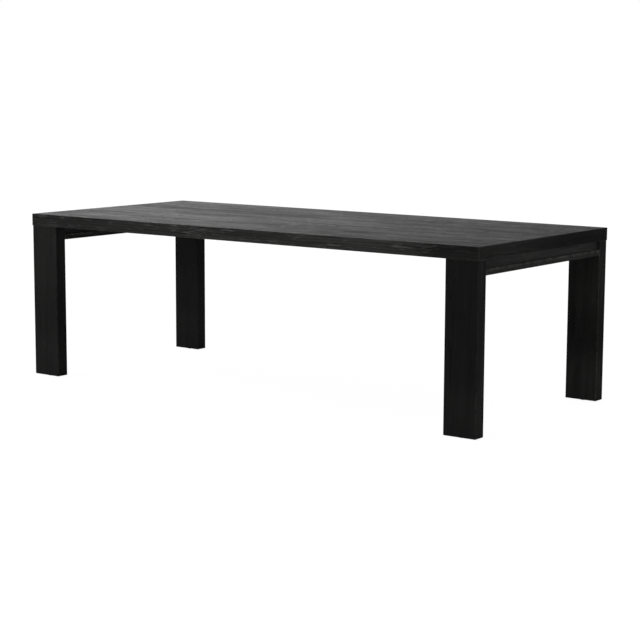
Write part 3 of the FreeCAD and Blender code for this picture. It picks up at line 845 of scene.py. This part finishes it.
class Workbench:
    """Modelling moves, each on one mesh round the upright axis at the origin.

    A thread's section meets root, crest, crest and root at the flank shares of its pitch. The rod is
    turned with spare turns at both ends, and then cut to length with a chamfer of so many depths.
    """

    merge_distance: float = 3e-6
    bisect_distance: float = 1e-7
    level_slack: float = 0.01
    sharp_angle: float = math.radians(40.0)
    smooth_angle: float = math.radians(32.0)
    bevel_segments: int = 2
    flank_shares: tuple[float, ...] = (0.0, 0.4375, 0.5625, 1.0)
    spare_turns: int = 3
    chamfer_depths: float = 2.1

    @staticmethod
    def take(*pieces: Piece) -> None:
        """Select some pieces and nothing else, and make the first one active.

        Args:
            *pieces: Pieces to select.
        """
        bpy.ops.object.select_all(action="DESELECT")
        for piece in pieces:
            piece.select_set(True)
        bpy.context.view_layer.objects.active = pieces[0]

    def discard(self, piece: Piece) -> None:
        """Take a piece that is used up off the bench."""
        self.take(piece)
        bpy.ops.object.delete()

    @staticmethod
    def named(name: str) -> Piece:
        """Name the object that an operator has just added, and apply its place.

        Args:
            name: Name of the piece and of its mesh.

        Returns:
            The piece.
        """
        piece = bpy.context.object
        piece.name = piece.data.name = name
        bpy.ops.object.transform_apply(location=True, rotation=True, scale=True)
        return piece

    @contextmanager
    def editing(
        self, piece: Piece, picking: Picking = Picking.CORNERS,
        picks: Callable[..., bool] = lambda part: True,
    ) -> Iterator[None]:
        """Hold a piece in edit mode, with the corners or faces selected that a rule picks.

        Args:
            piece: Piece to edit.
            picking: Whether its corners or its faces are picked.
            picks: Rule that tells whether a corner or face is selected.

        Yields:
            Nothing, for as long as the piece is edited.
        """
        self.take(piece)
        bpy.ops.object.mode_set(mode="EDIT")
        bpy.ops.mesh.select_mode(type=picking.value)
        mesh = bmesh.from_edit_mesh(piece.data)
        for part in mesh.faces if picking is Picking.FACES else mesh.verts:
            part.select_set(picks(part))
        mesh.select_flush_mode()
        bmesh.update_edit_mesh(piece.data)
        yield
        bpy.ops.object.mode_set(mode="OBJECT")

    def modify(self, piece: Piece, kind: str, **settings: object) -> None:
        """Put a modifier on a piece, set it and apply it.

        Args:
            piece: Piece to change.
            kind: Blender's type name of the modifier.
            **settings: Properties of the modifier.
        """
        self.take(piece)
        modifier = piece.modifiers.new(kind.title(), kind)
        for key, value in settings.items():
            setattr(modifier, key, value)
        bpy.ops.object.modifier_apply(modifier=modifier.name)

    def combine(self, piece: Piece, tool: Piece, joining: Joining) -> Piece:
        """Join or cut a piece with another one, which is used up.

        Args:
            piece: Piece that stays.
            tool: Piece that is used up.
            joining: What stays of the two.

        Returns:
            The piece that stays.

        Raises:
            RuntimeError: If nothing is left of the piece.
        """
        self.modify(piece, "BOOLEAN", operation=joining.value, object=tool, solver="MANIFOLD")
        if not piece.data.polygons:
            raise RuntimeError(f"{joining.name} of {piece.name} and {tool.name} leaves nothing")
        self.discard(tool)
        return piece

    def cylinder(self, name: str, radius: float, low: float, high: float, sides: int = 61) -> Piece:
        """Add an upright cylinder, with its first corner on the X axis.

        Args:
            name: Name of the piece.
            radius: Radius to its corners.
            low: Level of its lower face.
            high: Level of its upper face.
            sides: Number of its side faces; an odd one keeps its corners off those of a thread.

        Returns:
            The piece.
        """
        bpy.ops.object.select_all(action="DESELECT")
        bpy.ops.mesh.primitive_cylinder_add(
            vertices=sides, radius=radius, depth=high - low, location=(0.0, 0.0, (low + high) / 2),
            rotation=(0.0, 0.0, math.pi / 2),
        )
        return self.named(name)

    def taper_end(self, piece: Piece, upward: float, height: float, share: float) -> None:
        """Draw one end face out into a chamfer.

        Args:
            piece: Piece to edit.
            upward: 1 for its upper end, -1 for its lower one.
            height: Height of the chamfer.
            share: Width at its end as a share of the width at its foot.
        """
        with self.editing(piece, Picking.FACES, lambda face: abs(face.normal.z - upward) < self.level_slack):
            bpy.ops.mesh.extrude_region_move(TRANSFORM_OT_translate={"value": (0.0, 0.0, upward * height)})
            bpy.ops.transform.resize(value=(share, share, 1.0))

    def flute(self, piece: Piece, share: float) -> None:
        """Draw in every other upright edge of a cylinder.

        Args:
            piece: Cylinder to edit.
            share: Radius of the drawn-in edges as a share of the radius.
        """
        sides = len(piece.data.vertices) // 2
        step = 2 * math.pi / sides
        with self.editing(piece, picks=lambda spot: round(math.atan2(spot.co.y, spot.co.x) / step) % 2 == 0):
            bpy.ops.transform.resize(value=(share, share, 1.0), center_override=(0.0, 0.0, 0.0))

    def eased_cylinder(
        self, name: str, radius: float, low: float, high: float, ease: float, sides: int = 61,
        flute: float = 1.0,
    ) -> Piece:
        """Make a round bar with both ends chamfered at 45 degrees.

        Args:
            name: Name of the piece.
            radius: Radius of the bar.
            low: Level of its lower end.
            high: Level of its upper end.
            ease: Size of the chamfers.
            sides: Number of its side faces.
            flute: Radius of every other edge as a share of the radius, or 1 for a plain bar.

        Returns:
            The bar.
        """
        bar = self.cylinder(name, radius, low + ease, high - ease, sides)
        if flute != 1.0:
            self.flute(bar, flute)
        for upward in (-1.0, 1.0):
            self.taper_end(bar, upward, ease, 1.0 - ease / radius)
        return bar

    def draw_section(self, name: str, section: Sequence[Pair]) -> Piece:
        """Draw a chain of edges in the upright plane through the X axis, point by point.

        Args:
            name: Name of the piece.
            section: Radius and level of each point.

        Returns:
            The drawn section.
        """
        bpy.ops.object.select_all(action="DESELECT")
        bpy.ops.mesh.primitive_plane_add(size=section[1][0])
        drawn = self.named(name)
        with self.editing(drawn):
            bpy.ops.mesh.merge(type="CENTER")
            bpy.ops.transform.translate(value=(section[0][0], 0.0, section[0][1]))
            for (radius, level), (next_radius, next_level) in zip(section, section[1:]):
                step = (next_radius - radius, 0.0, next_level - level)
                bpy.ops.mesh.extrude_vertices_move(TRANSFORM_OT_translate={"value": step})
        return drawn

    def threaded_rod(self, name: str, thread: Thread, low: float, high: float) -> Piece:
        """Turn a rod with a screw thread, chamfered down to the root at both ends.

        Args:
            name: Name of the piece.
            thread: Thread on it.
            low: Level of its lower end.
            high: Level of its upper end.

        Returns:
            The rod.
        """
        start = low - self.spare_turns * thread.pitch
        radii = (thread.root, thread.crest, thread.crest, thread.root)
        section = [(radius, start + share * thread.pitch) for radius, share in zip(radii, self.flank_shares)]
        rod = self.draw_section(name, section)
        turns = math.ceil((high - low) / thread.pitch) + 2 * self.spare_turns
        self.modify(
            rod, "SCREW", screw_offset=thread.pitch, steps=thread.steps, render_steps=thread.steps,
            iterations=turns, use_merge_vertices=False,
        )
        with self.editing(rod):
            bpy.ops.mesh.remove_doubles(threshold=self.merge_distance)
            for level, above in ((low - thread.pitch / 2, False), (high + thread.pitch / 2, True)):
                bpy.ops.mesh.select_all(action="SELECT")
                bpy.ops.mesh.bisect(
                    plane_co=(0.0, 0.0, level), plane_no=Axis.HEIGHT.value, use_fill=True,
                    clear_inner=not above, clear_outer=above, threshold=self.bisect_distance,
                )
            bpy.ops.mesh.select_all(action="SELECT")
            bpy.ops.mesh.normals_make_consistent(inside=False)
        depth = thread.crest - thread.root
        chamfer = self.chamfer_depths * depth
        blank = self.eased_cylinder(f"{name}_blank", thread.crest + depth, low, high, chamfer)
        return self.combine(rod, blank, Joining.SHARED)

    def turned(self, name: str, section: Sequence[Pair], steps: int) -> Piece:
        """Spin a section round the upright axis into a closed shape.

        Args:
            name: Name of the piece.
            section: Radius and level of each point, from axis to axis.
            steps: Number of faces round the axis.

        Returns:
            The turned piece.
        """
        piece = self.draw_section(name, section)
        with self.editing(piece):
            bpy.ops.mesh.spin(
                steps=steps, angle=2 * math.pi, center=(0.0, 0.0, 0.0), axis=Axis.HEIGHT.value
            )
            bpy.ops.mesh.select_all(action="SELECT")
            bpy.ops.mesh.remove_doubles(threshold=self.merge_distance)
            bpy.ops.mesh.normals_make_consistent(inside=False)
        return piece

    def bore_sleeve(self, sleeve: Piece, low: float, high: float) -> Piece:
        """Bore a threaded sleeve from its low to its high end, and polish it."""
        bore = self.cylinder("bore", METRIC_8_BORE, low - WOOD_12.pitch, high + WOOD_12.pitch)
        return self.polish(self.combine(sleeve, bore, Joining.FIRST_ONLY))

    def polish(self, piece: Piece, bevel: float = 0.0) -> Piece:
        """Break the sharp edges of a piece a little and smooth its shading between them.

        Args:
            piece: Piece to finish.
            bevel: Width of the broken edges, or 0 to leave them.

        Returns:
            The piece.
        """
        if bevel:
            self.modify(
                piece, "BEVEL", width=bevel, segments=self.bevel_segments, limit_method="ANGLE",
                angle_limit=self.sharp_angle,
            )
        self.take(piece)
        bpy.ops.object.shade_smooth_by_angle(angle=self.smooth_angle)
        return piece

    def repeat(self, pattern: Piece, name: str, places: Iterable[Vector]) -> Piece:
        """Copy a piece to several places and join the copies into one piece.

        Args:
            pattern: Piece to copy, which stays as it is.
            name: Name of the joined piece.
            places: Moves that bring the pattern to its places.

        Returns:
            The joined piece.
        """
        copies = []
        for place in places:
            self.take(pattern)
            bpy.ops.object.duplicate(linked=False)
            bpy.ops.transform.translate(value=place)
            copies.append(self.named(name))
        self.take(*copies)
        if len(copies) > 1:
            bpy.ops.object.join()
        return self.named(name)


@dataclass
class FrameFixings:
    """Bolts, sleeves and dowels that hold the end frames to the slab."""

    bench: Workbench
    finishes: Finishes
    columns: int = 2
    bolt_rows: int = 3
    head_radius: float = 0.0065
    head_height: float = 0.0080
    head_ease: float = 0.0008
    head_flutes: int = 36
    head_flute: float = 0.965
    socket_radius: float = 0.0060 / math.sqrt(3.0)
    socket_depth: float = 0.0040
    shank_radius: float = 0.0040
    thread_length: float = 0.0320
    shank_overlap: float = 3 * METRIC_8.pitch
    dowel_rows: int = 2
    dowel_radius: float = 0.0060
    dowel_ease: float = 0.0015
    dowel_flutes: int = 20
    dowel_flute: float = 0.94
    dowel_cut: Cut = Cut(Axis.HEIGHT, Axis.WIDTH, 70.0)

    def build(self) -> None:
        """Model the fixings in the places of their CAD nodes."""
        zinc = self.finishes.zinc.material("fixings_zinc")
        beech = self.finishes.beech.material("dowel_beech", Vector(), self.dowel_cut)
        makings = (
            ("frame_bolts", self.model_bolt, self.head_radius, self.bolt_rows, Slot.ZINC_STEEL, zinc),
            ("top_inserts", self.model_sleeve, WOOD_12.crest, self.bolt_rows, Slot.ZINC_STEEL, zinc),
            ("leg_dowels", self.model_dowel, self.dowel_radius, self.dowel_rows, Slot.JOINT_WOOD, beech),
        )
        for fixing, model, radius, rows, slot, material in makings:
            pattern = model(*levels(f"{End.LEFT.value}_{fixing}"))
            for end in End:
                node = f"{end.value}_{fixing}"
                places = round_places(node, radius, self.columns, rows)
                piece = self.bench.repeat(pattern, f"{node}_modelled", places)
                settle(piece, "table", material, node)
            self.bench.discard(pattern)
        for end in End:
            coat_node(f"{end.value}_bolt_washers", zinc)

    def model_bolt(self, low: float, high: float) -> Piece:
        """Model a socket head bolt, head down.

        Args:
            low: Level of the head's face.
            high: Level of the bolt's tip.

        Returns:
            The bolt.
        """
        bench = self.bench
        ease, sides = self.head_ease, 2 * self.head_flutes
        socket_floor, run_out = low + self.socket_depth, high - self.thread_length
        bolt = bench.cylinder("bolt", self.head_radius, low + ease, low + self.head_height, sides)
        bench.flute(bolt, self.head_flute)
        bench.taper_end(bolt, -1.0, ease, 1.0 - ease / self.head_radius)
        socket = bench.cylinder("socket", self.socket_radius, low - ease, socket_floor, HEXAGON)
        bench.combine(bolt, socket, Joining.FIRST_ONLY)
        shank = bench.cylinder("shank", self.shank_radius, socket_floor + ease, run_out)
        bench.combine(bolt, shank, Joining.BOTH)
        thread = bench.threaded_rod("bolt_thread", METRIC_8, run_out - self.shank_overlap, high)
        return bench.polish(bench.combine(bolt, thread, Joining.BOTH))

    def model_sleeve(self, low: float, high: float) -> Piece:
        """Model a threaded sleeve that screws into wood, between two levels."""
        return self.bench.bore_sleeve(self.bench.threaded_rod("sleeve", WOOD_12, low, high), low, high)

    def model_dowel(self, low: float, high: float) -> Piece:
        """Model a fluted dowel with chamfered ends, between two levels."""
        sizes = (self.dowel_radius, low, high, self.dowel_ease, 2 * self.dowel_flutes, self.dowel_flute)
        return self.bench.polish(self.bench.eased_cylinder("dowel", *sizes))


@dataclass
class LevellingFeet:
    """Threaded stems in moulded pads under the legs, and the flanged sleeves that they turn in."""

    bench: Workbench
    finishes: Finishes
    collar_radius: float = 0.0130 / math.sqrt(3.0)
    collar_low: float = 0.0095
    collar_high: float = 0.0145
    collar_ease: float = 0.0008
    neck_radius: float = 0.0038
    disc_radius: float = 0.0070
    disc_height: float = 0.0030
    disc_ease: float = 0.0004
    flange_radius: float = 0.0110
    flange_height: float = 0.0015
    flange_ease: float = 0.0003
    pad_section: tuple[Pair, ...] = (
        (0.0000, 0.0006), (0.0090, 0.0006), (0.0096, 0.0000), (0.0150, 0.0000), (0.0160, 0.0010),
        (0.0160, 0.0045), (0.0110, 0.0060), (0.0110, 0.0090), (0.00405, 0.0090), (0.00405, 0.0061),
        (0.0073, 0.0061), (0.0073, 0.0030), (0.0000, 0.0030),
    )
    pad_steps: int = 72
    pad_bevel: float = 0.00012
    rim_inside: float = 0.0157
    groove_depth: float = 0.0005
    groove_spacing: int = 3

    def build(self) -> None:
        """Model stems, pads and sleeves in the places of their CAD nodes."""
        bench, zinc, nylon = self.bench, self.finishes.zinc, self.finishes.nylon
        stem, pad, sleeve = self.model_stem(), self.model_pad(), self.model_sleeve()
        makings = (
            ("stem", stem, Slot.ZINC_STEEL, zinc.material("foot_zinc")),
            ("pad", pad, Slot.BLACK_NYLON, nylon.material("foot_nylon")),
        )
        for corner in Corner:
            low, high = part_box(f"{corner.value}_foot_pad")
            place = Vector(((low.x + high.x) / 2, (low.y + high.y) / 2, 0.0))
            for kind, pattern, slot, material in makings:
                node = f"{corner.value}_foot_{kind}"
                piece = bench.repeat(pattern, f"{node}_modelled", [place])
                settle(piece, f"{corner.value}_{kind}", material, node)
        places = round_places("foot_inserts", self.flange_radius, columns=2, rows=2)
        piece = bench.repeat(sleeve, "foot_inserts_modelled", places)
        settle(piece, "table", zinc.material("foot_inserts_zinc"), "foot_inserts")
        for pattern in (stem, pad, sleeve):
            bench.discard(pattern)

    def model_stem(self) -> Piece:
        """Model a threaded stem with its hexagon collar and foot disc.

        Returns:
            The stem, upright at the origin.
        """
        bench = self.bench
        low, high = levels("front_left_foot_stem")
        collar = (self.collar_radius, self.collar_low, self.collar_high)
        stem = bench.cylinder("stem", *collar, HEXAGON)
        bench.combine(stem, bench.eased_cylinder("collar_blank", *collar, self.collar_ease), Joining.SHARED)
        collar_middle = (self.collar_low + self.collar_high) / 2
        neck = bench.cylinder("neck", self.neck_radius, low + self.disc_height / 2, collar_middle)
        bench.combine(stem, neck, Joining.BOTH)
        disc = bench.eased_cylinder("disc", self.disc_radius, low, low + self.disc_height, self.disc_ease)
        bench.combine(stem, disc, Joining.BOTH)
        thread = bench.threaded_rod("stem_thread", METRIC_8, collar_middle + METRIC_8.pitch / 4, high)
        return bench.polish(bench.combine(stem, thread, Joining.BOTH))

    def model_pad(self) -> Piece:
        """Model a moulded pad with grip grooves round its rim.

        Returns:
            The pad, upright at the origin.
        """
        pad = self.bench.turned("pad", self.pad_section, self.pad_steps)
        with self.bench.editing(pad, Picking.FACES, self.is_grooved):
            bpy.ops.mesh.inset(thickness=self.groove_depth / 2, use_individual=True)
            inwards = {"value": -self.groove_depth}
            bpy.ops.mesh.extrude_region_shrink_fatten(TRANSFORM_OT_shrink_fatten=inwards)
        return self.bench.polish(pad, self.pad_bevel)

    def is_grooved(self, face: bmesh.types.BMFace) -> bool:
        """Tell whether a face of the pad gets a grip groove.

        Args:
            face: Face of the turned pad.

        Returns:
            True for every third upright face of the rim.
        """
        middle = face.calc_center_median()
        on_rim = abs(face.normal.z) < self.bench.level_slack and middle.xy.length > self.rim_inside
        number = math.floor(math.atan2(middle.y, middle.x) / math.tau * self.pad_steps)
        return on_rim and number % self.groove_spacing == 0

    def model_sleeve(self) -> Piece:
        """Model a flanged sleeve that screws into the bottom of a leg.

        Returns:
            The sleeve, upright at the origin.
        """
        bench = self.bench
        low, high = levels("foot_inserts")
        flange_top = low + self.flange_height
        sleeve = bench.eased_cylinder("flange", self.flange_radius, low, flange_top, self.flange_ease)
        body = bench.threaded_rod("sleeve", WOOD_12, low + self.flange_height / 3, high)
        return bench.bore_sleeve(bench.combine(sleeve, body, Joining.BOTH), low, high)


@dataclass
class Slab:
    """Built-up top: mitred skin, underside and the framing between them."""

    finishes: Finishes
    # Light factors are painted light and shading per piece. The long edges are painted darker towards their
    # ends, and the short edges lighter at the front end and darker at the back, standing in for how the
    # light falls; the short edges' wider arris band is partly a painted highlight.
    top: Cut = Cut(Axis.LENGTH, Axis.HEIGHT, 3.0, leaf_width=0.178, flecks=0.7)
    long_edge: Cut = Cut(
        Axis.LENGTH, Axis.WIDTH, 12.0, ring_width=0.011, painted_light_factor=2.6, flecks=0.6,
        painted_end_shading=(0.55, 0.45), painted_end_reaches=(0.9, 0.35),
    )
    short_edge: Cut = Cut(
        Axis.WIDTH, Axis.LENGTH, 23.0, painted_light_factor=0.62, gloss=0.4, flecks=0.08, wear_and_highlight_reach=0.0035,
        painted_end_shading=(2.5, 0.85), painted_end_reaches=(0.7, 0.9),
    )
    underside: Cut = Cut(Axis.LENGTH, Axis.HEIGHT, 5.0)
    end_core: Cut = Cut(Axis.WIDTH, Axis.HEIGHT, 41.0)
    core_rail: Cut = Cut(Axis.LENGTH, Axis.HEIGHT, 47.0)
    core_rib: Cut = Cut(Axis.WIDTH, Axis.HEIGHT, 50.0)
    rib_count: int = 5

    def dress(self) -> None:
        """Finish the skin, the underside and the hidden framing."""
        oak, core = self.finishes.oak, self.finishes.core
        oak.dress("top_panel", self.top)
        oak.dress("front_edge", self.long_edge)
        oak.dress("back_edge", self.long_edge.from_log(6.0))
        oak.dress("left_edge", self.short_edge)
        oak.dress("right_edge", self.short_edge.from_log(9.0))
        self.finishes.board.dress("underside_panel", self.underside)
        for number, (end, side) in enumerate((("left", "front"), ("right", "back"))):
            core.dress(f"{end}_end_core", self.end_core.from_log(number))
            core.dress(f"{side}_core_rail", self.core_rail.from_log(number))
        for number in range(1, self.rib_count + 1):
            core.dress(f"core_rib_{number}", self.core_rib.from_log(number))


@dataclass
class EndFrame:
    """Two legs and the box beam between them; pairs give the front leg first."""

    finishes: Finishes
    end: End
    seed: float
    # Painted light per leg: a light factor, and painted light and shadow at each head, standing in for how
    # brightly each leg is lit and for the slab's shadow over some heads; the feet are painted lighter,
    # standing in for the floor's bounce.
    painted_leg_light: Pair
    painted_head_shading: Pair
    leg_glosses: Pair = (1.0, 1.0)
    painted_foot_light: float = 1.5
    leg: Cut = Cut(Axis.HEIGHT, Axis.WIDTH, 0.0, flecks=0.06, wear_and_highlight_reach=0.0035, painted_end_reaches=(0.25, 0.4))
    # The board's wide band along its upper arris only is a painted highlight where the ledge catches the
    # light, fading down its face; the light factors of board and rails are painted light.
    board: Cut = Cut(
        Axis.WIDTH, Axis.HEIGHT, 3.0, painted_light_factor=1.6, flecks=0.15, wear_and_highlight_reach=0.014, worn_and_highlit_below=False
    )
    rail: Cut = Cut(Axis.WIDTH, Axis.LENGTH, 4.0, painted_light_factor=1.7, flecks=0.15)
    block: Cut = Cut(Axis.WIDTH, Axis.HEIGHT, 7.0)
    tenon: Cut = Cut(Axis.WIDTH, Axis.LENGTH, 11.0)

    def dress(self) -> None:
        """Finish legs, beam, blocks and joints."""
        finishes, end, seed = self.finishes, self.end.value, self.seed
        legs = zip(("front", "back"), self.painted_leg_light, self.leg_glosses, self.painted_head_shading)
        for number, (side, painted_light_factor, gloss, head_shading) in enumerate(legs):
            leg_end_shading = (self.painted_foot_light, head_shading)
            cut = replace(self.leg.from_log(seed + number), painted_light_factor=painted_light_factor, gloss=gloss, painted_end_shading=leg_end_shading)
            finishes.oak.dress(f"{side}_{end}_leg", cut)
        finishes.oak.dress(f"{end}_bottom_board", self.board.from_log(seed))
        for number, rail in enumerate(("apron", "inner_rail")):
            finishes.oak.dress(f"{end}_{rail}", self.rail.from_log(seed + number))
        for number, place in enumerate(("front", "middle", "back")):
            finishes.core.dress(f"{end}_{place}_block", self.block.from_log(seed + number))
        finishes.beech.dress(f"{end}_loose_tenons", self.tenon.from_log(seed))


@dataclass(frozen=True)
class Softbox:
    """Large rectangular studio light."""

    name: str
    place: Point
    aim: Point
    width: float
    height: float
    power: float

    def build(self) -> None:
        """Hang the light and turn it to its aim."""
        away = Vector(self.aim) - Vector(self.place)
        turn = away.to_track_quat("-Z", "Y").to_euler()
        bpy.ops.object.light_add(type="AREA", location=self.place, rotation=turn)
        lamp = bpy.context.object
        lamp.name = self.name
        lamp.data.shape = "RECTANGLE"
        lamp.data.size = self.width
        lamp.data.size_y = self.height
        lamp.data.energy = self.power
        log.info("hung %s", self.name)


@dataclass
class Studio:
    """White floor, soft light and the camera."""

    floor_side: float = 120.0
    floor_colour: Colour = (0.80, 0.80, 0.80)
    floor_glow: float = 0.82
    floor_light: float = 1.16
    dome_dim: float = 0.22
    dome_side: float = 1.25
    dome_side_way: Point = (-0.96, 0.27, 0.05)
    dome_side_range: Pair = (0.65, 0.98)
    dome_top: float = 0.30
    dome_top_range: Pair = (0.2, 0.9)
    ground_light: float = 1.0
    camera_place: Point = (4.6425, -6.1724, 1.4305)
    camera_yaw: float = -36.56
    camera_pitch: float = -8.27
    camera_roll: float = 0.254
    focal_pixels: float = 1717.3
    sensor_width: float = 36.0
    softboxes: list[Softbox] = field(default_factory=lambda: [
        Softbox("key_softbox", (-4.5, -4.0, 2.6), (-0.4, 0.0, 0.5), width=3.0, height=2.4, power=110.0),
        Softbox("end_softbox", (3.4, -1.5, 0.35), (1.2, -0.4, 0.45), width=1.0, height=0.5, power=4.0),
        Softbox("back_softbox", (-1.7, 1.9, 1.02), (-0.9, 0.0, 0.85), width=4.6, height=0.45, power=3.3),
    ])

    def build(self) -> None:
        """Set up floor, dome, lights and camera."""
        self.lay_floor()
        self.hang_dome()
        for softbox in self.softboxes:
            softbox.build()
        self.set_camera()
        bpy.context.scene.view_settings.view_transform = "Standard"

    def lay_floor(self) -> None:
        """Lay the white floor, which can't be seen from below."""
        bpy.ops.mesh.primitive_plane_add(size=self.floor_side)
        floor = bpy.context.object
        floor.name = "studio_floor"
        material = bpy.data.materials.new("floor_paper")
        material.use_nodes = True
        graph = NodeGraph(material.node_tree)
        paper = graph.add("ShaderNodeBsdfDiffuse", {"Color": self.floor_colour}).outputs[0]
        glow = graph.add("ShaderNodeEmission", {"Color": WHITE, "Strength": self.floor_light}).outputs[0]
        seen = graph.add("ShaderNodeLightPath").outputs["Is Camera Ray"]
        share = graph.maths("MULTIPLY", seen, self.floor_glow)
        lit = graph.add("ShaderNodeMixShader", {0: share, 1: paper, 2: glow}).outputs[0]
        clear = graph.add("ShaderNodeBsdfTransparent").outputs[0]
        behind = graph.add("ShaderNodeNewGeometry").outputs["Backfacing"]
        one_sided = graph.add("ShaderNodeMixShader", {0: behind, 1: lit, 2: clear}).outputs[0]
        graph.add("ShaderNodeOutputMaterial", {"Surface": one_sided})
        floor.data.materials.append(material)

    def hang_dome(self) -> None:
        """Light the room softly, more from the left than from the right, before a white ground."""
        world = bpy.data.worlds.new("studio_dome")
        bpy.context.scene.world = world
        world.use_nodes = True
        graph = NodeGraph(world.node_tree)
        way = graph.add("ShaderNodeTexCoord").outputs["Generated"]
        side_way = tuple(Vector(self.dome_side_way).normalized())
        facing = graph.add("ShaderNodeVectorMath", {0: way, 1: side_way}, operation="DOT_PRODUCT")
        lobe = (*self.dome_side_range, self.dome_dim, self.dome_dim + self.dome_side)
        side = graph.spread(facing.outputs["Value"], *lobe, smooth=True)
        top = graph.spread(graph.parts(way)[2], *self.dome_top_range, 0.0, self.dome_top, smooth=True)
        soft, ground = (
            graph.add("ShaderNodeBackground", {"Color": WHITE, "Strength": strength}).outputs[0]
            for strength in (graph.maths("ADD", side, top), self.ground_light)
        )
        seen = graph.add("ShaderNodeLightPath").outputs["Is Camera Ray"]
        both = graph.add("ShaderNodeMixShader", {0: seen, 1: soft, 2: ground}).outputs[0]
        graph.add("ShaderNodeOutputWorld", {"Surface": both})

    def set_camera(self) -> None:
        """Stand the camera where the photograph was taken from."""
        angles = (self.camera_yaw, self.camera_pitch, self.camera_roll)
        yaw, pitch, roll = (math.radians(angle) for angle in angles)
        ahead = Vector((math.sin(yaw) * math.cos(pitch), math.cos(yaw) * math.cos(pitch), math.sin(pitch)))
        turn = ahead.to_track_quat("-Z", "Y").to_matrix() @ Matrix.Rotation(roll, 3, "Z")
        bpy.ops.object.camera_add(location=self.camera_place, rotation=turn.to_euler())
        camera = bpy.context.object
        camera.name = "photo_camera"
        camera.data.sensor_width = self.sensor_width
        camera.data.lens = self.focal_pixels / PHOTO_SIDE * self.sensor_width
        camera.data.clip_end = 2 * self.floor_side
        bpy.context.scene.camera = camera


def main() -> None:
    """Dress the joinery, model fixings and feet, and set up the studio."""
    logging.basicConfig(level=logging.INFO, format="%(name)s: %(message)s")
    finishes = Finishes.mix(Effects(WoodGrain(), ArrisWearAndHighlight(), Speckle()))
    Slab(finishes).dress()
    # Legs, front first: light factors and head shading are painted light and shading; the far right leg also
    # has less sheen.
    EndFrame(finishes, End.LEFT, seed=60.0, painted_leg_light=(0.64, 0.50), painted_head_shading=(1.4, 0.45)).dress()
    EndFrame(
        finishes, End.RIGHT, seed=80.0, painted_leg_light=(0.64, 1.10), painted_head_shading=(0.85, 1.5),
        leg_glosses=(1.0, 0.1),
    ).dress()
    bench = Workbench()
    FrameFixings(bench, finishes).build()
    LevellingFeet(bench, finishes).build()
    Studio().build()


if __name__ == "__main__":
    main()
